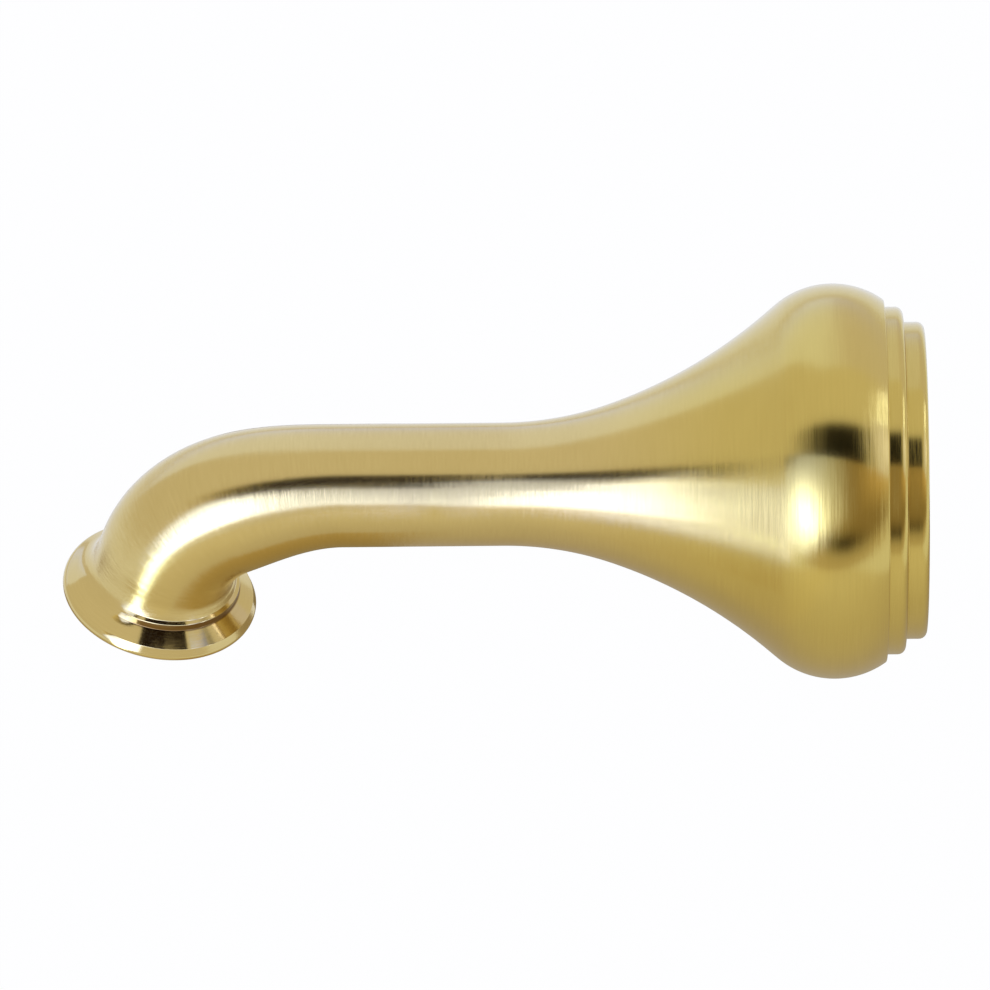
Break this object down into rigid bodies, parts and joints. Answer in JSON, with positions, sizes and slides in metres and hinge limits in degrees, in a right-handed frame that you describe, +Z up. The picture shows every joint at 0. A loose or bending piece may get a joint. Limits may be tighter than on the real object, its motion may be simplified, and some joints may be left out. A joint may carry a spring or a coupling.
{
  "type": "bath spout",
  "caption": "One-piece satin brass bath spout for a wall: hollow bell on stepped rings, straight neck, widening bend and a flared outlet lip.",
  "frame": {"origin": "centre of the wall face, on the axis of the neck, the bell and the inlet thread", "axes": "+X into the wall along the neck, the spout reaches along -X; +Z up; the outlet points down"},
  "size_m": [0.1778, 0.0814, 0.0814],
  "materials": {
    "satin_brass": "satin brushed around the turned forms, polished on the lip"
  },
  "bodies": {
    "root": {"spout_body": "satin_brass"}
  },
  "joints": []
}
